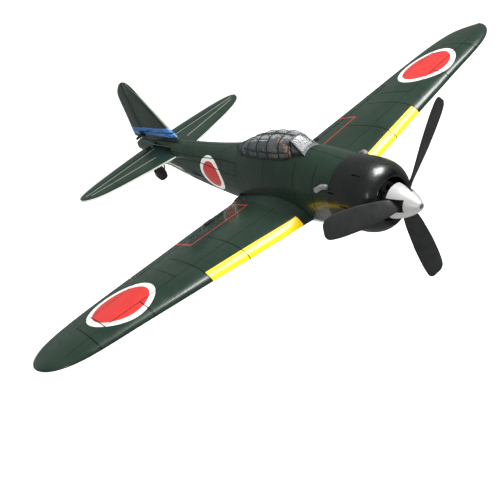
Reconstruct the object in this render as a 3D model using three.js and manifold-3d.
// Foam park-flyer model of a single-engined warbird, 400 mm span.
// Millimetres.  +X is the aircraft's left, the nose points along -Y, +Z is up.
// Shapes are laid out from a datum in the nose; the finished pieces are shifted so that
// the flat rest under the belly fairing lies at the origin.
import * as THREE from 'three';
import { mergeVertices, toCreasedNormals } from 'three/addons/utils/BufferGeometryUtils.js';
import Module from 'manifold-3d';

const wasm = await Module();
wasm.setup();
const { Manifold, Mesh: ManifoldMesh } = wasm;

// ---------------------------------------------------------------- driving dimensions
const LIFT = 28;                 // datum above the belly rest
const REST_Y = 28;               // belly rest aft of the datum
const GAP = 0.3;                 // clearance between pieces that touch
const SMOOTHING = 0.05;          // largest shift allowed when flat facets are merged
const HALF_SPAN = 200;
const WALL = 1.8;                // foam shell thickness
const DIHEDRAL = 0.1203;         // rise of the wing per mm of span
const THRUST_Z = 1.8;            // propeller axis above the datum

const PROP_RADIUS = 60;
const PROP_PLANE_Y = -89.3;
const BLADE_COUNT = 3;
const FIRST_BLADE_DEG = 39.5;
const SPUR_TEETH = 40;
const PINION_TEETH = 10;
const GEAR_MODULE = 0.5;
const GEAR_CENTRES = 12.6;
const GEAR_Y = -74.5;            // rear face of both gears
const GEAR_WIDTH = 2;

const CONTROL_ARM = 7;           // horn and servo arm radius, equal in every linkage
const ROD_RADIUS = 0.5;
const AILERON_IN = 41;
const AILERON_OUT = 120;
const HINGE_GAP = 0.9;
const END_GAP = 0.6;             // clearance at the ends of the ailerons
const ELEVATOR_HINGE_Y = 178.6;
const STAB_Z = -3.2;
const STAB_HALF_SPAN = 84;
const RUDDER_HINGE_Y = 195.5;
const TAIL_WHEEL = { y: 207, z: -36.6, radius: 7.4, width: 6.4 };

// ---------------------------------------------------------------- helpers
const V = (x, y, z) => new THREE.Vector3(x, y, z);
const lerp = (a, b, t) => a + (b - a) * t;

function table(rows, at) {
  // rows are [key, value, value, ...] in rising key order
  if (at <= rows[0][0]) return rows[0].slice(1);
  for (let i = 1; i < rows.length; i += 1) {
    if (at <= rows[i][0]) {
      const t = (at - rows[i - 1][0]) / (rows[i][0] - rows[i - 1][0]);
      return rows[i].slice(1).map((value, k) => lerp(rows[i - 1][k + 1], value, t));
    }
  }
  return rows[rows.length - 1].slice(1);
}

function solid(geometry) {
  const bare = geometry.clone();
  for (const name of Object.keys(bare.attributes)) {
    if (name !== 'position') bare.deleteAttribute(name);
  }
  const merged = mergeVertices(bare, 1e-4);
  return new Manifold(new ManifoldMesh({
    numProp: 3,
    vertProperties: Float32Array.from(merged.attributes.position.array),
    triVerts: Uint32Array.from(merged.index.array),
  }));
}

function geometryOf(manifold) {
  const mesh = manifold.getMesh();
  const geometry = new THREE.BufferGeometry();
  const points = new Float32Array(mesh.numVert * 3);
  for (let i = 0; i < mesh.numVert; i += 1) {
    for (let k = 0; k < 3; k += 1) points[3 * i + k] = mesh.vertProperties[mesh.numProp * i + k];
  }
  geometry.setAttribute('position', new THREE.BufferAttribute(points, 3));
  geometry.setIndex(Array.from(mesh.triVerts));
  return toCreasedNormals(geometry, 0.6);
}

const join = (...items) => Manifold.union(items);
const largest = (item) => item.decompose().sort((a, b) => b.volume() - a.volume())[0];

function loft(rings) {
  // rings of equal length, each a closed loop; flat caps close both ends
  const count = rings[0].length;
  const positions = rings.flat().flatMap((p) => [p.x, p.y, p.z]);
  const index = [];
  for (let r = 0; r + 1 < rings.length; r += 1) {
    for (let i = 0; i < count; i += 1) {
      const a = r * count + i;
      const b = r * count + ((i + 1) % count);
      index.push(a, b, b + count, a, b + count, a + count);
    }
  }
  const cap = (ring, offset, flip) => {
    const normal = V(0, 0, 0);
    ring.forEach((p, i) => normal.add(p.clone().cross(ring[(i + 1) % count])));
    const size = [Math.abs(normal.x), Math.abs(normal.y), Math.abs(normal.z)];
    const drop = size.indexOf(Math.max(...size));
    const flat = ring.map((p) => {
      const c = [p.x, p.y, p.z];
      c.splice(drop, 1);
      return new THREE.Vector2(c[0], c[1]);
    });
    const clockwise = THREE.ShapeUtils.isClockWise(flat);
    for (const f of THREE.ShapeUtils.triangulateShape(flat, [])) {
      const sign = (b) => flat[f[0]].clone().sub(flat[f[1]]).cross(flat[b].clone().sub(flat[f[1]]));
      const turned = (sign(f[2]) < 0) === clockwise ? [f[0], f[2], f[1]] : [f[0], f[1], f[2]];
      index.push(...(flip ? [turned[0], turned[2], turned[1]] : turned).map((k) => k + offset));
    }
  };
  cap(rings[0], 0, true);
  cap(rings[rings.length - 1], (rings.length - 1) * count, false);
  const geometry = new THREE.BufferGeometry();
  geometry.setAttribute('position', new THREE.Float32BufferAttribute(positions, 3));
  geometry.setIndex(index);
  let made = solid(geometry);
  if (made.volume() < 0) {
    for (let i = 0; i < index.length; i += 3) {
      [index[i + 1], index[i + 2]] = [index[i + 2], index[i + 1]];
    }
    geometry.setIndex(index);
    made = solid(geometry);
  }
  return made;
}

const moved = (item, x, y, z) => item.translate([x, y, z]);

function box(x0, x1, y0, y1, z0, z1) {
  const block = new THREE.BoxGeometry(x1 - x0, y1 - y0, z1 - z0);
  return moved(solid(block), (x0 + x1) / 2, (y0 + y1) / 2, (z0 + z1) / 2);
}

function rod(from, to, radius, sides = 16) {
  const span = to.clone().sub(from);
  const cylinder = new THREE.CylinderGeometry(radius, radius, span.length(), sides);
  const turn = new THREE.Quaternion().setFromUnitVectors(V(0, 1, 0), span.clone().normalize());
  const middle = from.clone().add(to).multiplyScalar(0.5);
  cylinder.applyMatrix4(new THREE.Matrix4().compose(middle, turn, V(1, 1, 1)));
  return solid(cylinder);
}

function turnedAlongY(profile, sides, x = 0, z = THRUST_Z) {
  // profile of [radius, y] pairs that starts and ends on the axis or closes on itself
  const points = profile.map(([radius, y]) => new THREE.Vector2(radius, y));
  const made = solid(new THREE.LatheGeometry(points, sides));
  const right = made.volume() < 0 ? solid(new THREE.LatheGeometry(points.reverse(), sides)) : made;
  return moved(right, x, 0, z);
}

function plate(outline, depth, place) {
  // outline in (u, v), extruded by depth along w; place maps (u, v, w) to space
  const shape = new THREE.Shape(outline.map(([u, v]) => new THREE.Vector2(u, v)));
  const geometry = new THREE.ExtrudeGeometry(shape, { depth, bevelEnabled: false });
  geometry.applyMatrix4(place);
  return solid(geometry);
}

const PLAN = new THREE.Matrix4();                                    // u=x v=y w=z
const SIDE = new THREE.Matrix4().makeBasis(V(0, 1, 0), V(0, 0, 1), V(1, 0, 0));
const FRONT = new THREE.Matrix4().makeBasis(V(1, 0, 0), V(0, 0, 1), V(0, -1, 0));
const shifted = (matrix, x, y, z) => new THREE.Matrix4().makeTranslation(x, y, z).multiply(matrix);

function wire(points, radius, steps, sides = 6) {
  const curve = new THREE.CatmullRomCurve3(points, false, 'catmullrom', 0.15);
  const circle = Array.from({ length: sides }, (_, i) => {
    const a = (2 * Math.PI * i) / sides;
    return new THREE.Vector2(radius * Math.cos(a), radius * Math.sin(a));
  });
  const options = { steps, bevelEnabled: false, extrudePath: curve };
  return solid(new THREE.ExtrudeGeometry(new THREE.Shape(circle), options));
}

const group = new THREE.Group();
group.name = 'rc_warbird_plane';

function add(name, item, colour, roughness, metalness = 0) {
  const material = new THREE.MeshStandardMaterial({ color: colour, roughness, metalness });
  const geometry = geometryOf(moved(item, 0, -REST_Y, LIFT).simplify(SMOOTHING));
  const mesh = new THREE.Mesh(geometry, material);
  mesh.name = name;
  group.add(mesh);
}

const GREEN = '#2b3a30';
const PALE = '#b9bcb6';
const BLACK = '#1b1c1d';
const STEEL = '#a9adb0';

// ---------------------------------------------------------------- fuselage form
// y, top z, widest z, bottom z, half width
const FUSELAGE = [
  [-50.6, 23.2, 2.0, -19.2, 21.0],
  [-36, 24.9, 1.0, -22.6, 20.9],
  [-22, 25.8, 0.2, -25.0, 20.6],
  [-6, 25.2, -0.6, -27.0, 20.2],
  [12, 23.6, -1.6, -28.2, 19.6],
  [30, 21.2, -2.8, -28.5, 18.6],
  [45, 18.6, -4.2, -28.5, 17.5],
  [60, 15.6, -5.6, -28.5, 16.2],
  [80, 12.6, -7.0, -28.3, 14.4],
  [104, 9.8, -8.2, -27.4, 12.6],
  [137, 6.8, -8.8, -24.8, 10.2],
  [166, 4.4, -8.8, -21.4, 7.4],
  [190, 2.6, -8.4, -18.2, 4.9],
  [210, -0.6, -8.8, -15.4, 2.8],
  [223, -6.6, -10.2, -13.2, 1.2],
];
const FUSELAGE_POINTS = 24;

function fuselageRing(y, inset) {
  const [top, mid, bottom, half] = table(FUSELAGE, y);
  return Array.from({ length: FUSELAGE_POINTS }, (_, i) => {
    const a = (2 * Math.PI * (i + 0.5)) / FUSELAGE_POINTS;
    const c = Math.cos(a);
    const s = Math.sin(a);
    const round = s > 0 ? 0.98 : 0.88;
    const x = Math.sign(c) * Math.abs(c) ** round * (half - inset);
    const reach = s > 0 ? top - mid - inset : mid - bottom - inset;
    return V(x, y, mid + Math.sign(s) * Math.abs(s) ** round * reach);
  });
}

function fuselageForm(inset, from = FUSELAGE[0][0], to = FUSELAGE[FUSELAGE.length - 1][0]) {
  const stations = [from, ...FUSELAGE.map((row) => row[0]).filter((y) => y > from && y < to), to];
  return loft(stations.map((y) => fuselageRing(y, inset)));
}

const hullOuter = fuselageForm(0);
const hullCavity = fuselageForm(WALL, -60, 176);
const hullGrown = fuselageForm(-GAP, -60, 100);

// ---------------------------------------------------------------- wing form
// x, leading edge y, trailing edge y, height of the upper surface as a part of the chord
const WING = [
  [12.5, -26.4, 57, 0.16],
  [19, -26.2, 56, 0.155],
  [23, -25.8, 53.6, 0.125],
  [29, -25.5, 51.4, 0.106],
  [38, -25.2, 50.2, 0.1],
  [66, -24.2, 46.2, 0.1],
  [95, -22.2, 41.2, 0.1],
  [120, -21.0, 37.2, 0.1],
  [145, -19.7, 33.0, 0.1],
  [162, -19.1, 29.8, 0.098],
  [174, -18.2, 27.0, 0.095],
  [183, -16.4, 24.2, 0.09],
  [190, -13.4, 21.0, 0.085],
  [195.4, -9.4, 16.8, 0.08],
  [198.6, -5.0, 12.4, 0.075],
  [HALF_SPAN, -0.6, 7.8, 0.07],
];
const WING_LOWER = 0.026;
const CHORD_STEPS = [0, 0.012, 0.05, 0.12, 0.22, 0.35, 0.5, 0.66, 0.82, 1];
const EDGE_HALF = 0.4;

const bulge = (t) => 10 * (
  0.2969 * Math.sqrt(t) - 0.126 * t - 0.3516 * t ** 2 + 0.2843 * t ** 3 - 0.1036 * t ** 4
);
const chordZ = (x, t) => -16.4 - 2.8 * t + DIHEDRAL * x;

function wingRing(side, row, grow) {
  const [x, lead, trail, upper] = row;
  const chord = trail - lead;
  const at = (t, way) => {
    const height = (way > 0 ? upper : WING_LOWER) * chord * bulge(t) + EDGE_HALF * Math.min(1, t * 12) + grow;
    const y = lead - grow + t * (chord + 2 * grow);
    return V(side * x, y, chordZ(x, t) + way * height);
  };
  const over = CHORD_STEPS.map((t) => at(t, 1));
  const under = CHORD_STEPS.slice(grow > 0 ? 0 : 1).reverse().map((t) => at(t, -1));
  return [...over, ...under];
}

const wingForm = (side, grow = 0) => loft(WING.map((row) => wingRing(side, row, grow)));
const trailingEdge = (x) => table(WING, x)[1];
const AILERON_CHORD = 8;
const hingeY = (x) => lerp(
  trailingEdge(AILERON_IN) - AILERON_CHORD,
  trailingEdge(AILERON_OUT) - AILERON_CHORD,
  (x - AILERON_IN) / (AILERON_OUT - AILERON_IN),
);

function aileronBand(side, slack) {
  // plan-view region aft of the hinge line, between the aileron's ends
  const inner = AILERON_IN - slack * (END_GAP / GAP);
  const outer = AILERON_OUT + slack * (END_GAP / GAP);
  const outline = [
    [side * inner, hingeY(inner) + HINGE_GAP / 2 - slack * (HINGE_GAP / GAP)],
    [side * outer, hingeY(outer) + HINGE_GAP / 2 - slack * (HINGE_GAP / GAP)],
    [side * outer, 90],
    [side * inner, 90],
  ];
  return plate(side > 0 ? outline : outline.reverse(), 80, shifted(PLAN, 0, 0, -40));
}

// ---------------------------------------------------------------- wing fittings
const SPAR = { y: 4, z: -13.6, radius: 1.5, half: 44 };
const HORN_X = 52;

function aileronFrame(side) {
  // origin on the hinge line beside the horn; u along the hinge, v aft, w up
  const origin = V(side * HORN_X, hingeY(HORN_X), 0);
  const t = (origin.y - table(WING, HORN_X)[0]) / (trailingEdge(HORN_X) - table(WING, HORN_X)[0]);
  origin.z = chordZ(HORN_X, t);
  const far = V(side * (HORN_X + 10), hingeY(HORN_X + 10), origin.z + 10 * DIHEDRAL);
  const u = far.sub(origin).multiplyScalar(side).normalize();
  const v = V(0, 0, 1).cross(u).normalize();
  const w = u.clone().cross(v).normalize();
  return new THREE.Matrix4().makeBasis(u, v, w).setPosition(origin);
}

const placed = (item, matrix) => item.transform(matrix.elements.slice());

const ROD_RUN = 27;              // pivot-to-pivot length of an aileron pushrod

function hornShape(reach, root) {
  // side view of a control horn hanging from its base, pivot at (0, -reach)
  return [[-1.4, -reach - 1.4], [1.4, -reach - 1.4], [root + 4.6, 0], [root, 0]];
}

function aileronHorn() {
  const arm = plate(hornShape(CONTROL_ARM, 0.9), 1, shifted(SIDE, -0.5, 0, -1.9));
  const base = box(-2.2, 2.2, 1.0, 6.4, -2.7, -1.9);
  const clip = box(-3.4, 3.4, 1.6, 4.6, 1.7, 2.5);
  const pins = [-1.4, 1.4].map((u) => rod(V(u, 3.2, -2.2), V(u, 3.2, 2.2), 0.4, 8));
  const drilled = join(arm, base, clip, ...pins);
  return drilled.subtract(rod(V(-2, 0, -CONTROL_ARM), V(2, 0, -CONTROL_ARM), ROD_RADIUS + 0.3, 8));
}

const HORN_POCKET = () => join(
  box(-2.6, 2.6, 0.6, 6.9, -9, -1.55),
  box(-3.8, 3.8, 1.2, 5.0, 1.35, 9),
  box(-2.2, 2.2, 2.4, 4.0, -3, 3),
);

function servoBody() {
  // output axis is the local x axis through the origin, arm hangs to -z
  const bodyBox = box(2.1, 12, -11, 5, -4, 4);
  const ears = box(4.8, 6, -13.2, 7.2, -4, 4);
  const boss = rod(V(1.3, 0, 0), V(3, 0, 0), 3, 14);
  return join(bodyBox, ears, boss);
}

function servoArm(width = 1) {
  const hub = rod(V(-0.8, 0, 0), V(1, 0, 0), 2.2, 12);
  const leg = plate(
    [[-1.9, 0], [-1.3, -CONTROL_ARM - 1.2], [1.3, -CONTROL_ARM - 1.2], [1.9, 0]],
    width,
    shifted(SIDE, -0.8, 0, 0),
  );
  const pinHole = rod(V(-3, 0, -CONTROL_ARM), V(3, 0, -CONTROL_ARM), ROD_RADIUS + 0.3, 8);
  return join(hub, leg).subtract(pinHole);
}

const AILERON_SERVO_W = -1.2;    // servo axis below the aileron hinge line

function aileronRod(side) {
  // pin through the horn, run forward, pin through the servo arm
  const z = -CONTROL_ARM;
  const tilt = AILERON_SERVO_W;
  return wire([
    V(-1.6 * side, 0, z), V(1.9 * side, 0, z), V(2.5 * side, -0.9, z),
    V(2.5 * side, -ROD_RUN + 0.9, z + tilt), V(1.9 * side, -ROD_RUN, z + tilt),
    V(-1.6 * side, -ROD_RUN, z + tilt),
  ], ROD_RADIUS, 22);
}

const servoFrame = (frame) => frame.clone().multiply(
  new THREE.Matrix4().makeTranslation(0, -ROD_RUN, AILERON_SERVO_W),
);

function sparRod(reach, radius) {
  return rod(V(-SPAR.half - reach, SPAR.y, SPAR.z), V(SPAR.half + reach, SPAR.y, SPAR.z), radius, 12);
}

function wingPanel(side) {
  const frame = aileronFrame(side);
  const servoPlace = servoFrame(frame);
  const servoBay = join(
    box(1.0, 12.4, -11.4, 5.4, -12, 4.3),
    box(4.4, 6.4, -13.6, 7.6, -12, 4.3),
    box(-1.6, 2, -4.6, 4.6, -12, 3.2),
  );
  const bayPlace = side > 0 ? servoPlace : servoPlace.clone().scale(V(-1, 1, 1));
  const channel = box(1.2, 3.8, -ROD_RUN - 2, 3, -16, -2.4);
  const channelPlace = side > 0 ? frame : frame.clone().scale(V(-1, 1, 1));
  return wingForm(side)
    .subtract(aileronBand(side, GAP))
    .subtract(sparRod(0.4, SPAR.radius + GAP))
    .subtract(placed(servoBay, bayPlace))
    .subtract(placed(channel, channelPlace));
}

for (const [side, tag] of [[-1, 'right'], [1, 'left']]) {
  const frame = aileronFrame(side);
  const mirror = new THREE.Matrix4().makeScale(side, 1, 1);
  const servoPlace = servoFrame(frame).multiply(mirror);
  add(`wing_${tag}`, wingPanel(side), GREEN, 0.5);
  const aileron = wingForm(side).intersect(aileronBand(side, 0));
  add(`aileron_${tag}`, aileron.subtract(placed(HORN_POCKET(), frame)), GREEN, 0.5);
  add(`aileron_horn_${tag}`, placed(aileronHorn(), frame), BLACK, 0.5);
  add(`aileron_servo_${tag}`, placed(servoBody(), servoPlace), '#26323f', 0.4);
  add(`aileron_servo_arm_${tag}`, placed(servoArm(), servoPlace), '#e6e6e0', 0.5);
  add(`aileron_pushrod_${tag}`, placed(aileronRod(side), frame), STEEL, 0.35, 0.9);
}
add('wing_spar', sparRod(0, SPAR.radius).subtract(sparRod(1, SPAR.radius - 0.6)), '#202124', 0.45);

// ---------------------------------------------------------------- tailplane
// x, leading edge y, trailing edge y of the elevator
const STAB = [
  [0, 139.5, 192.6],
  [18, 143.6, 192.4],
  [40, 149.4, 191.4],
  [60, 155.4, 189.8],
  [72, 160.6, 187.8],
  [79, 166.0, 185.2],
  [82.6, 171.2, 182.4],
  [STAB_HALF_SPAN, 175.4, 179.4],
];
const SLAB_STEPS = [0, 0.03, 0.12, 0.3, 0.62, 1];
const SLAB_THICKNESS = [0.3, 0.62, 0.9, 1, 1, 0.85];

function slabRing(make, lead, trail, half, taper, grow) {
  const over = SLAB_STEPS.map((t, i) => {
    const end = taper && i === 5 ? 0.3 : SLAB_THICKNESS[i];
    return [lead - grow + t * (trail - lead + 2 * grow), end * half + grow];
  });
  return [...over, ...over.slice().reverse().map(([s, h]) => [s, -h])].map(([s, h]) => make(s, h));
}

function stabiliserForm(grow = 0) {
  const rows = [...STAB.slice(1).reverse().map(([x, a]) => [-x, a]), ...STAB.map(([x, a]) => [x, a])];
  const aft = ELEVATOR_HINGE_Y - HINGE_GAP / 2;
  return loft(rows.map(([x, lead]) => {
    const half = lerp(1.8, 1.1, Math.abs(x) / STAB_HALF_SPAN);
    return slabRing((s, h) => V(x, s, STAB_Z + h), lead, Math.max(aft, lead + 1.5), half, false, grow);
  }));
}

const ELEVATOR_ROOT = 7.2;

function elevatorForm(side) {
  const fore = ELEVATOR_HINGE_Y + HINGE_GAP / 2;
  const rows = [[ELEVATOR_ROOT, 0, 192.6], ...STAB.slice(1, -1), [83.2, 0, 181.2]];
  return loft(rows.map(([x, , trail]) => {
    const half = lerp(1.75, 1.0, x / STAB_HALF_SPAN);
    const shape = [[fore, 0.8], [fore + 1.2, 1], [lerp(fore, trail, 0.5), 0.8], [trail, 0.3]];
    const loop = [...shape, ...shape.slice().reverse().map(([s, h]) => [s, -h])];
    return loop.map(([s, h]) => V(side * x, s, STAB_Z + h * half));
  }));
}

const JOINER = { y: ELEVATOR_HINGE_Y + 2.9, radius: 0.7, half: 15 };
const joinerRod = (grow, reach) => rod(
  V(-JOINER.half - reach, JOINER.y, STAB_Z),
  V(JOINER.half + reach, JOINER.y, STAB_Z),
  JOINER.radius + grow,
  10,
);

// ---------------------------------------------------------------- fin and rudder
// z, leading edge y, trailing edge y of the rudder
const FIN = [
  [-0.9, 139.5, 219.6],
  [6, 140.6, 219.4],
  [12.3, 145.4, 218.4],
  [17.1, 151.0, 217.6],
  [24.6, 157.6, 216.7],
  [33.2, 166.0, 215.9],
  [38.4, 170.6, 215.2],
  [44.0, 175.8, 212.6],
  [48.6, 180.2, 207.4],
  [52.2, 184.6, 202.0],
  [54.0, 188.8, 197.6],
];

function finForm(grow = 0) {
  const aft = RUDDER_HINGE_Y - HINGE_GAP / 2;
  return loft(FIN.map(([z, lead], i) => {
    const half = lerp(2.3, 1.1, z / 54);
    const level = i === 0 ? z - grow : z;
    return slabRing((s, h) => V(h, s, level), lead, aft, half, false, grow);
  }));
}

const RUDDER_BOTTOM = 1.4;

function rudderForm() {
  const fore = RUDDER_HINGE_Y + HINGE_GAP / 2;
  const rows = [[RUDDER_BOTTOM, 0, 219.5], ...FIN.slice(1)];
  return loft(rows.map(([z, , trail]) => {
    const half = lerp(2.2, 1.1, z / 54);
    const shape = [[fore, 0.8], [fore + 1.2, 1], [lerp(fore, trail, 0.5), 0.75], [trail, 0.3]];
    const loop = [...shape, ...shape.slice().reverse().map(([s, h]) => [s, -h])];
    return loop.map(([s, h]) => V(h * half, s, z));
  }));
}

// ---------------------------------------------------------------- control runs in the fuselage
const ELEVATOR_HORN_X = -9.6;
const ELEVATOR_SERVO = { y: 84, z: -9.5 };
const RUDDER_HORN_Z = 6.5;
const RUDDER_SERVO = { y: 66, z: -4.4 };

const elevatorPlace = shifted(PLAN, ELEVATOR_HORN_X, ELEVATOR_HINGE_Y, STAB_Z);
const elevatorServoPlace = shifted(PLAN, -6.8, ELEVATOR_SERVO.y, ELEVATOR_SERVO.z);
// local -z (the arm) turns to -X, local x (the axis) turns to +Z
const armToRight = new THREE.Matrix4().makeBasis(V(0, 0, 1), V(0, 1, 0), V(1, 0, 0));
const rudderPlace = armToRight.clone().setPosition(0, RUDDER_HINGE_Y, RUDDER_HORN_Z);
const rudderServoPlace = armToRight.clone().setPosition(2.6, RUDDER_SERVO.y, RUDDER_SERVO.z);

function slabHorn() {
  const arm = plate(hornShape(CONTROL_ARM, 0.9), 1, shifted(SIDE, -0.5, 0, -2.2));
  const base = box(-2.2, 2.2, 1.0, 7.0, -2.9, -2.2);
  const clip = box(-2.2, 2.2, 4.0, 7.0, 2.0, 2.7);
  const pins = [-1.4, 1.4].map((u) => rod(V(u, 5.5, -2.5), V(u, 5.5, 2.3), 0.4, 8));
  return join(arm, base, clip, ...pins)
    .subtract(rod(V(-2, 0, -CONTROL_ARM), V(2, 0, -CONTROL_ARM), ROD_RADIUS + 0.3, 8));
}

const hornHoles = () => join(
  box(-2.0, 2.0, 4.8, 6.2, -4, 4),
  box(-2.6, 2.6, 0.4, 7.4, -9, -1.9),
  box(-2.6, 2.6, 3.6, 7.4, 1.7, 9),
);

function elevatorRod() {
  const hornZ = STAB_Z - CONTROL_ARM;
  const servoZ = ELEVATOR_SERVO.z - CONTROL_ARM;
  const x = ELEVATOR_HORN_X;
  const servoX = -6.8;
  return wire([
    V(x + 1.6, ELEVATOR_HINGE_Y, hornZ), V(x - 1.9, ELEVATOR_HINGE_Y, hornZ),
    V(x - 2.4, ELEVATOR_HINGE_Y - 1, hornZ), V(-12.0, 150, hornZ), V(-13.4, 128, hornZ - 1.4),
    V(-12.6, 112, hornZ - 3), V(servoX - 2.6, ELEVATOR_SERVO.y + 6, servoZ),
    V(servoX - 2.4, ELEVATOR_SERVO.y + 1, servoZ), V(servoX - 1.9, ELEVATOR_SERVO.y, servoZ),
    V(servoX + 1.2, ELEVATOR_SERVO.y, servoZ),
  ], ROD_RADIUS, 34);
}

function rudderRod() {
  const hornX = -CONTROL_ARM;
  const servoX = 2.6 - CONTROL_ARM;
  const z = RUDDER_HORN_Z;
  return wire([
    V(hornX, RUDDER_HINGE_Y, z + 1.4), V(hornX, RUDDER_HINGE_Y, z - 1.9),
    V(hornX, RUDDER_HINGE_Y - 1, z - 2.3), V(-5.6, 178, 1.0), V(-3.7, 168, 0.2), V(-3.7, 140, 0.2),
    V(servoX, 122, -1.2), V(servoX, RUDDER_SERVO.y + 1, RUDDER_SERVO.z + 2.3),
    V(servoX, RUDDER_SERVO.y, RUDDER_SERVO.z + 1.9), V(servoX, RUDDER_SERVO.y, RUDDER_SERVO.z - 1.4),
  ], ROD_RADIUS, 34);
}

const elevatorExit = box(-18, -7.4, 92, 141, -18.6, -8.6);
const rudderExit = join(box(-8, -2.6, 150, 181, -1.1, 1.9), box(-5.2, -2.2, 138, 172, -1.1, 1.4));
const joinerSlot = box(-9, 9, JOINER.y - 3, JOINER.y + 1.6, STAB_Z - 2.3, STAB_Z + 2.3);
const elevatorNotch = join(box(-9, -5.6, 177, 199, -12, 6), box(5.6, 9, 177, 199, -12, 6));

// ---------------------------------------------------------------- tail wheel
const LEG_RADIUS = 0.7;
const AXLE_END = 5.0;

function tailLeg() {
  const w = TAIL_WHEEL;
  const stop = rod(V(-AXLE_END - 0.3, w.y, w.z), V(-AXLE_END + 1, w.y, w.z), 1.5, 12);
  return stop.add(wire([
    V(0, RUDDER_HINGE_Y + 2.6, 5.4), V(0, RUDDER_HINGE_Y + 0.6, 4.6), V(0, RUDDER_HINGE_Y, 2.6),
    V(0, RUDDER_HINGE_Y, -19.6), V(0.4, RUDDER_HINGE_Y - 1.6, -21.2),
    V(w.width / 2 + 1.6, w.y - 3, w.z + 3.4),
    V(w.width / 2 + 1.4, w.y, w.z + 0.4), V(w.width / 2 + 0.6, w.y, w.z), V(-AXLE_END, w.y, w.z),
  ], LEG_RADIUS, 30, 8));
}

function tyre() {
  const { radius, width } = TAIL_WHEEL;
  const half = width / 2;
  const profile = [
    [3.9, -half + 1.2], [4.6, -half], [radius - 1.3, -half], [radius - 0.3, -half + 1], [radius, 0],
    [radius - 0.3, half - 1], [radius - 1.3, half], [4.6, half], [3.9, half - 1.2], [3.9, -half + 1.2],
  ];
  return turnedAlongY(profile, 24, 0, 0);
}

function hub() {
  const half = TAIL_WHEEL.width / 2;
  const profile = [
    [0.85, -half + 0.2], [3.6, -half + 0.9], [3.6, half - 0.9], [0.85, half - 0.2], [0.85, -half + 0.2],
  ];
  return turnedAlongY(profile, 16, 0, 0);
}

const wheelPlace = new THREE.Matrix4().makeRotationZ(-Math.PI / 2).setPosition(0, TAIL_WHEEL.y, TAIL_WHEEL.z);

// ---------------------------------------------------------------- canopy and cockpit
// y, top z, half width
const CANOPY = [
  [-24.2, 24.6, 6.4],
  [-19.6, 28.4, 7.6],
  [-12.4, 33.1, 9.4],
  [-4.7, 33.5, 11.0],
  [5.8, 32.7, 11.3],
  [16.6, 30.8, 11.3],
  [28.9, 27.2, 10.6],
  [43, 21.8, 8.8],
  [52, 18.2, 6.0],
  [60, 15.4, 2.0],
];
const CANOPY_BASE = 4;

function canopyForm(inset) {
  return loft(CANOPY.map(([y, top, half]) => {
    const count = 11;
    const arch = Array.from({ length: count }, (_, i) => {
      const a = (Math.PI * i) / (count - 1);
      const c = Math.cos(a);
      const low = top - 11.5 + Math.max(0, y - 5) * 0.1;
      const x = Math.sign(c) * Math.abs(c) ** 0.82 * (half - inset);
      return V(x, y, low + Math.sin(a) ** 0.9 * (top - low - inset));
    });
    return [...arch, V(-(half - inset), y, CANOPY_BASE), V(half - inset, y, CANOPY_BASE)];
  }));
}

const GLASS = 0.7;
const FRAME_LIFT = 0.3;
const FRAME_THICK = 0.55;

function canopyFrame() {
  const skin = canopyForm(-FRAME_LIFT - FRAME_THICK).subtract(canopyForm(-FRAME_LIFT)).subtract(hullGrown);
  const hoops = [-12.6, -4, 7.5, 19, 31.5, 43].map((y) => box(-14, 14, y - 0.6, y + 0.6, 0, 40));
  const sill = hullGrown.translate([0, 0, 1.3]);
  const rail = (side) => join(
    box(Math.min(side * 8.6, side * 14), Math.max(side * 8.6, side * 14), -22, 50, 24.6, 25.6)
      .rotate([-6, 0, 0]).translate([0, 0, 0.4]),
  );
  const spine = join(
    box(-0.6, 0.6, -13, 60, 10, 40),
    box(-4.4, -3.6, -24, -12.4, 20, 40),
    box(3.6, 4.4, -24, -12.4, 20, 40),
  );
  return skin.intersect(join(...hoops, sill, rail(-1), rail(1), spine, box(-9, 9, -25, -21.6, 20, 27.4)));
}

const COCKPIT = { half: 9.4, front: -14, back: 42, floor: 3.5, rim: 16.6 };

function cockpitTub() {
  const c = COCKPIT;
  const outer = box(-c.half, c.half, c.front, c.back, c.floor, c.rim);
  return outer.subtract(box(-c.half + 0.8, c.half - 0.8, c.front + 0.8, c.back - 0.8, c.floor + 0.8, 40))
    .intersect(fuselageForm(1.2));
}

function pilotFigure() {
  const ball = (x, y, z, rx, ry, rz) => moved(
    solid(new THREE.IcosahedronGeometry(1, 2)).scale([rx, ry, rz]), x, y, z,
  );
  const torso = ball(0, 8, 14, 6.2, 4.6, 7.5);
  const shoulders = ball(0, 8.2, 17.4, 7.4, 3.8, 3.4);
  const head = ball(0, 6.6, 24.6, 3.5, 3.8, 4.3);
  const cap = ball(0, 7.4, 25.4, 3.9, 4.1, 4.3).intersect(box(-6, 6, 4.6, 14, 20, 32));
  const goggles = ball(0, 3.6, 25.8, 2.8, 1.2, 1.2);
  return join(torso, shoulders, head, cap, goggles, rod(V(0, 7, 18), V(0, 7, 23), 2, 10))
    .subtract(box(-10, 10, -5, 30, 0, 8));
}

function seatShape() {
  const back = plate([[13.6, 4.8], [16.2, 4.8], [17.8, 22], [16.6, 22]], 11, shifted(SIDE, -5.5, 0, 0));
  const pan = box(-5.5, 5.5, 4, 15, 4.6, 6.6);
  const rest = box(-2.4, 2.4, 16.7, 18.1, 21, 25.6);
  return join(back, pan, rest);
}

// ---------------------------------------------------------------- belly, hatch and hull
const SPLIT_Z = -13.2;
const FAIRING_END = 54;
const HATCH = { half: 8.4, front: -42, back: 1 };
const hatchRegion = (grow) => box(
  -HATCH.half - grow, HATCH.half + grow, HATCH.front - grow, HATCH.back + grow, -40, -15,
);

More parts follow.
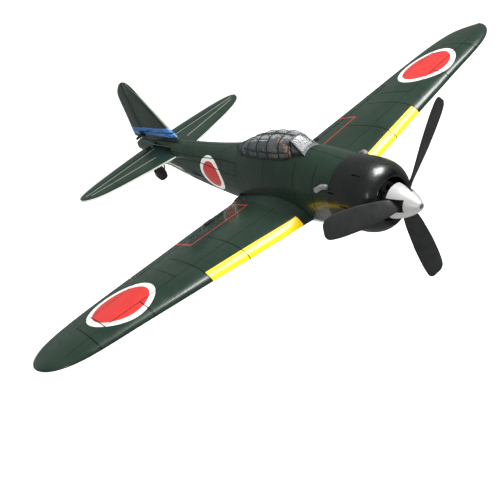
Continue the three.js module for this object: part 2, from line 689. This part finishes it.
const canopyOpening = box(
  -COCKPIT.half - GAP, COCKPIT.half + GAP, COCKPIT.front - GAP, COCKPIT.back + GAP, 2, 40,
);
const bellyRegion = box(-40, 40, -60, FAIRING_END, -60, SPLIT_Z);
const restCut = box(-40, 40, -60, 300, -60, -LIFT);
const wingHoles = join(wingForm(-1, GAP), wingForm(1, GAP));

const HATCH_PIN = { y: HATCH.front - 0.15, z: -21.6, radius: 0.9 };

function knuckle(place, grow) {
  // place -1, 0 or 1: right, middle or left knuckle of the hatch hinge
  const [from, to] = [[-7.4, -4.4], [-4, 4], [4.4, 7.4]][place + 1];
  const { y, z, radius } = HATCH_PIN;
  const pin = rod(V(from - grow, y, z), V(to + grow, y, z), radius + grow, 10);
  if (grow > 0) return pin;
  const foot = place === 0 ? [0, 2.4] : [-2.4, 0];
  return join(pin, box(from, to, y + foot[0], y + foot[1], z, z + 1.3));
}

function bellyFairing() {
  const vents = [-1, 1].flatMap((side) => [0, 1].map((k) => (
    box(Math.min(side * 12, side * 30), Math.max(side * 12, side * 30), -46 + 8 * k, -41 + 8 * k, -17.6, -16)
  )));
  return largest(hullOuter.subtract(hullCavity)
    .intersect(box(-40, 40, -60, FAIRING_END - GAP, -60, SPLIT_Z - GAP))
    .subtract(join(wingHoles, hatchRegion(GAP), restCut, knuckle(0, 0.35), ...vents))
    .add(knuckle(-1, 0)).add(knuckle(1, 0)));
}

function batteryHatch() {
  const skin = hullOuter.subtract(hullCavity).intersect(hatchRegion(0));
  const catchTab = box(-2.2, 2.2, HATCH.back - 3, HATCH.back - 1, -26.4, -22);
  return join(skin, catchTab).subtract(join(knuckle(-1, 0.35), knuckle(1, 0.35))).add(knuckle(0, 0));
}

function exhaustPipe(side, radius) {
  return wire([
    V(side * 17.4, -46.4, 11.6), V(side * 20.6, -47.6, 14.6),
    V(side * 22.2, -44.8, 14.0), V(side * 22.6, -38.2, 10.2),
  ], radius, 8, 10);
}

function exhaust(side) {
  const line = [V(side * 22.1, -45, 14.0), V(side * 22.4, -42, 12.4), V(side * 22.8, -36.6, 9.3)];
  return exhaustPipe(side, 1.9).subtract(wire(line, 1.2, 3, 10));
}

const firewallSeat = turnedAlongY([[0, -60], [18.6, -60], [18.6, -47.4], [0, -47.4]], 32, 0, 1.4);
const legHole = rod(V(0, RUDDER_HINGE_Y, -40), V(0, RUDDER_HINGE_Y, 6), LEG_RADIUS + 0.5, 10);
const tailTop = join(
  box(-9, 9, RUDDER_HINGE_Y - 0.3, 240, 0.7, 12),
  finForm(GAP),
);

const shell = hullOuter.subtract(hullCavity)
  .subtract(join(
    bellyRegion, wingHoles, canopyOpening, restCut, firewallSeat, stabiliserForm(GAP), tailTop, legHole,
    joinerSlot, elevatorNotch, elevatorExit, rudderExit,
    exhaustPipe(-1, 1.9 + GAP), exhaustPipe(1, 1.9 + GAP),
  ));
const half = (side) => shell.intersect(
  side > 0 ? box(GAP / 2, 60, -100, 300, -60, 60) : box(-60, -GAP / 2, -100, 300, -60, 60),
);

add('fuselage_right', half(-1), GREEN, 0.5);
add('fuselage_left', half(1), GREEN, 0.5);
add('belly_fairing', bellyFairing(), PALE, 0.6);
add('battery_hatch', batteryHatch(), PALE, 0.6);
add('fin', finForm().subtract(legHole), GREEN, 0.5);
add('stabiliser', stabiliserForm().subtract(rudderExit), GREEN, 0.5);
const elevatorHoles = placed(hornHoles(), elevatorPlace);
for (const [side, tag] of [[-1, 'right'], [1, 'left']]) {
  const panel = elevatorForm(side).subtract(joinerRod(0.1, GAP)).subtract(elevatorHoles);
  add(`elevator_${tag}`, panel, GREEN, 0.5);
}
add('elevator_joiner', joinerRod(0, 0), STEEL, 0.3, 0.9);
add('elevator_horn', placed(slabHorn(), elevatorPlace), BLACK, 0.5);
const legSocket = tailLegSocket();
add('rudder', rudderForm().subtract(placed(hornHoles(), rudderPlace)).subtract(legSocket), GREEN, 0.5);
add('rudder_horn', placed(slabHorn(), rudderPlace), BLACK, 0.5);
add('elevator_pushrod', elevatorRod(), STEEL, 0.35, 0.9);
add('rudder_pushrod', rudderRod(), STEEL, 0.35, 0.9);
add('elevator_servo', placed(servoBody(), elevatorServoPlace), '#26323f', 0.4);
add('elevator_servo_arm', placed(servoArm(), elevatorServoPlace), '#e6e6e0', 0.5);
add('rudder_servo', placed(servoBody(), rudderServoPlace), '#26323f', 0.4);
add('rudder_servo_arm', placed(servoArm(), rudderServoPlace), '#e6e6e0', 0.5);
add('tail_wheel_leg', tailLeg(), STEEL, 0.3, 0.9);
add('tail_wheel_hub', placed(hub(), wheelPlace), '#3a3c3e', 0.5);
add('tail_wheel_tyre', placed(tyre(), wheelPlace), '#151515', 0.85);
add('canopy_glass', canopyForm(0).subtract(canopyForm(GLASS)).subtract(hullGrown), '#dfe7ea', 0.08);
add('canopy_frame', canopyFrame(), GREEN, 0.5);
add('cockpit_tub', cockpitTub(), '#2a2c2a', 0.8);
add('seat', seatShape(), '#4a4034', 0.7);
add('pilot', pilotFigure(), '#6b5238', 0.75);
add('instrument_panel', box(-8.2, 8.2, -13.0, -12.0, 6, 20).intersect(fuselageForm(-1)), '#1c1d1e', 0.6);

function tailLegSocket() {
  return join(
    rod(V(0, RUDDER_HINGE_Y, -1), V(0, RUDDER_HINGE_Y, 4.2), LEG_RADIUS + 0.35, 10),
    rod(V(0, RUDDER_HINGE_Y - 0.4, 4.2), V(0, RUDDER_HINGE_Y + 3.6, 6), LEG_RADIUS + 0.55, 10),
  );
}

// ---------------------------------------------------------------- nose
const COWL = [
  [21.7, -51], [22.0, -58], [22.0, -67], [21.2, -72.6], [19.4, -77], [16.8, -80],
  [14.4, -81.2], [12.8, -80.6], [12.4, -79], [13.4, -77.6], [15.6, -76.4],
  [18.2, -73.6], [20.2, -69.4], [20.9, -66], [20.9, -58], [20.7, -51],
];

function cowl() {
  const shellRing = turnedAlongY([...COWL, COWL[0]], 36);
  const slit = (x, y, z, angle) => moved(box(-1, 3.4, -3, 3, -0.45, 0.45).rotate([0, -angle, 0]), x, y, z);
  const chin = box(-5.4, 5.4, -90, -76.8, THRUST_Z - 16.2, THRUST_Z - 8);
  const slits = [[-19.6, -64, 6.6, 170], [-18.4, -53, 12.4, 160], [-9.6, -68, 21.6, 115],
    [19.6, -64, 6.6, 10], [18.4, -53, 12.4, 20], [9.6, -68, 21.6, 65]];
  return shellRing.subtract(join(chin, ...slits.map((s) => slit(...s))));
}

const FIREWALL = { y: -49.4, thick: 1.6, radius: 18.2 };
const MOTOR_Z = THRUST_Z - GEAR_CENTRES;

function firewall() {
  return turnedAlongY([
    [0, FIREWALL.y], [FIREWALL.radius, FIREWALL.y], [FIREWALL.radius, FIREWALL.y + FIREWALL.thick],
    [0, FIREWALL.y + FIREWALL.thick],
  ], 36, 0, 1.4).intersect(box(-30, 30, -60, 0, -12.6, 40));
}

function gearboxFrame() {
  const front = -71.4;
  const tube = (radius, y0, y1, z) => rod(V(0, y0, z), V(0, y1, z), radius, 16);
  const web = box(-1.5, 1.5, front, -55, MOTOR_Z, THRUST_Z);
  const flange = box(-9, 9, -51.6, -49.7, -8, 12);
  const neck = box(-3, 3, -56, -50, -6, 6);
  return join(tube(4.2, front, -50, THRUST_Z), tube(6, front, -58, MOTOR_Z), web, flange, neck)
    .subtract(join(
      tube(1.5, -90, -40, THRUST_Z), tube(3.05, front - 1, front + 2.8, THRUST_Z),
      tube(3.05, -56.3, -40, THRUST_Z), tube(4.55, front + 1.6, -40, MOTOR_Z), tube(2.2, -90, -60, MOTOR_Z),
    ));
}

function motorCan() {
  return turnedAlongY([
    [0, -69.4], [1.2, -69.4], [4.2, -69.4], [4.2, -50.9], [3.6, -50.3], [0, -50.3],
  ], 20, 0, MOTOR_Z).subtract(rod(V(0, -80, MOTOR_Z), V(0, -62, MOTOR_Z), 0.9, 12));
}

function gear(teeth, bore, phase) {
  const pitch = (teeth * GEAR_MODULE) / 2;
  const outline = [];
  for (let k = 0; k < teeth; k += 1) {
    const centre = (2 * Math.PI * k) / teeth + phase;
    const wide = (0.42 * Math.PI) / teeth;
    for (const [offset, radius] of [[-1.15, -0.55], [-0.42, 0.4], [0.42, 0.4], [1.15, -0.55]]) {
      const a = centre + offset * wide;
      outline.push([(pitch + radius) * Math.cos(a), (pitch + radius) * Math.sin(a)]);
    }
  }
  return plate(outline, GEAR_WIDTH, shifted(FRONT, 0, GEAR_Y + GEAR_WIDTH, 0))
    .subtract(rod(V(0, -90, 0), V(0, -60, 0), bore, 14));
}

const SPUR_BORE = 1.1;

function spurGear() {
  const windows = [0, 1, 2, 3, 4].map((k) => {
    const a = (2 * Math.PI * (k + 0.5)) / 5;
    return rod(V(6 * Math.cos(a), -90, 6 * Math.sin(a)), V(6 * Math.cos(a), -60, 6 * Math.sin(a)), 1.9, 8);
  });
  const bore = rod(V(0, -90, 0), V(0, -60, 0), SPUR_BORE, 14);
  const boss = rod(V(0, GEAR_Y - 1.6, 0), V(0, GEAR_Y, 0), 3, 16).subtract(bore);
  const phase = Math.PI / SPUR_TEETH - Math.PI / 2;
  const wheel = gear(SPUR_TEETH, SPUR_BORE, phase).subtract(join(...windows));
  return moved(join(wheel, boss), 0, 0, THRUST_Z);
}

function bearing(y) {
  return turnedAlongY([[1.08, y], [2.9, y], [2.9, y + 2.2], [1.08, y + 2.2], [1.08, y]], 16);
}

// radius, chord, pitch angle, thickness
const BLADE = [
  [3.0, 6.2, 46, 3.0],
  [9.5, 8.0, 40, 2.4],
  [16, 10.0, 30, 1.9],
  [25, 11.6, 21.5, 1.6],
  [36, 13.2, 16, 1.4],
  [46, 13.4, 13, 1.2],
  [54, 12.6, 11, 1.0],
  [58.2, 10.6, 10.4, 0.9],
  [PROP_RADIUS, 7.2, 10, 0.7],
];

function blade(angle) {
  const along = V(Math.cos(angle), 0, Math.sin(angle));
  const across = V(-Math.sin(angle), 0, Math.cos(angle));
  const outline = [
    [-0.5, 0], [-0.4, 0.42], [-0.14, 0.62], [0.2, 0.5],
    [0.5, 0], [0.2, -0.3], [-0.14, -0.38], [-0.4, -0.28],
  ];
  return loft(BLADE.map(([radius, chord, pitch, thick]) => {
    const p = THREE.MathUtils.degToRad(pitch);
    return outline.map(([s, h]) => {
      const u = -s * chord;
      const w = h * thick;
      return along.clone().multiplyScalar(radius)
        .addScaledVector(across, u * Math.cos(p) + w * Math.sin(p))
        .add(V(0, PROP_PLANE_Y - u * Math.sin(p) - w * Math.cos(p) * -1, THRUST_Z));
    });
  }));
}

const bladeAngle = (k) => THREE.MathUtils.degToRad(FIRST_BLADE_DEG + (360 / BLADE_COUNT) * k);
const BLADES = Array.from({ length: BLADE_COUNT }, (_, k) => k);

function propeller() {
  const centre = turnedAlongY([
    [0, -93.2], [4.6, -93.2], [5, -92.6], [5, -86.2], [4.6, -85.6], [0, -85.6],
  ], 24);
  return join(centre, ...BLADES.map((k) => blade(bladeAngle(k))))
    .subtract(rod(V(0, -100, THRUST_Z), V(0, -60, THRUST_Z), 1.15, 12));
}

function spinner() {
  const outer = [
    [0, -101.6], [2.0, -101.6], [2.5, -101.2], [4.4, -98.8], [6.6, -95.4],
    [8.4, -91.6], [9.6, -88], [10.3, -84.6], [0, -84.6],
  ];
  const inner = [[0, -97.4], [3.2, -97.2], [5.4, -94.6], [7.2, -91.2], [8.5, -87.4], [9.1, -83], [0, -83]];
  const slot = (k) => {
    const a = bladeAngle(k);
    const cut = box(0, 14, -94.4, -84.0, -3.7, 3.7).rotate([0, -THREE.MathUtils.radToDeg(a), 0]);
    return moved(cut, 0, 0, THRUST_Z);
  };
  const tip = rod(V(0, -110, THRUST_Z), V(0, -98.4, THRUST_Z), 1.6, 14);
  return turnedAlongY(outer, 30).subtract(turnedAlongY(inner, 18)).subtract(join(tip, ...BLADES.map(slot)));
}

function propNut() {
  return turnedAlongY([[1.2, -95.6], [2.4, -95.6], [2.4, -93.6], [1.2, -93.6], [1.2, -95.6]], 6);
}

add('cowl', cowl(), '#141516', 0.3);
add('exhaust_right', exhaust(-1), '#8d9092', 0.4, 0.6);
add('exhaust_left', exhaust(1), '#8d9092', 0.4, 0.6);
add('firewall', firewall(), '#b08a58', 0.7);
add('gearbox_frame', gearboxFrame(), '#202225', 0.6);
add('motor', motorCan(), STEEL, 0.3, 0.9);
add('motor_pinion', join(
  moved(gear(PINION_TEETH, 0.01, Math.PI / 2), 0, 0, MOTOR_Z),
  rod(V(0, -76, MOTOR_Z), V(0, -63, MOTOR_Z), 0.75, 10),
), '#c7a24a', 0.35, 0.9);
add('spur_gear', spurGear(), BLACK, 0.5);
add('prop_shaft', rod(V(0, -96.4, THRUST_Z), V(0, -52.4, THRUST_Z), 1, 16), STEEL, 0.25, 1);
add('bearing_front', bearing(-71.2), STEEL, 0.25, 1);
add('bearing_rear', bearing(-56.1), STEEL, 0.25, 1);
add('propeller', propeller(), '#2a2b2c', 0.45);
add('spinner', spinner(), '#b9bab8', 0.35, 0.6);
add('prop_nut', propNut(), STEEL, 0.3, 1);

// ---------------------------------------------------------------- electrics
add('battery', box(-7.6, 7.6, -39, 0, -17.8, -8.4), '#2f5f86', 0.45);
add('receiver_board', join(
  box(-8, 8, 14, 38, -9.6, -8.4), box(-4, 4, 18, 26, -8.5, -6.8), box(-3, 3, 30, 35, -8.5, -6.2),
), '#1f6b3a', 0.55);
add('servo_tray', join(
  box(-9.6, 9.6, 50, 90, -1.2, 0.1).subtract(box(-1.8, 7, 54.6, 71.4, -9, 9)),
  box(0.4, 5, 73, 89, -5.2, -1.0),
), '#b08a58', 0.7);

export default group;
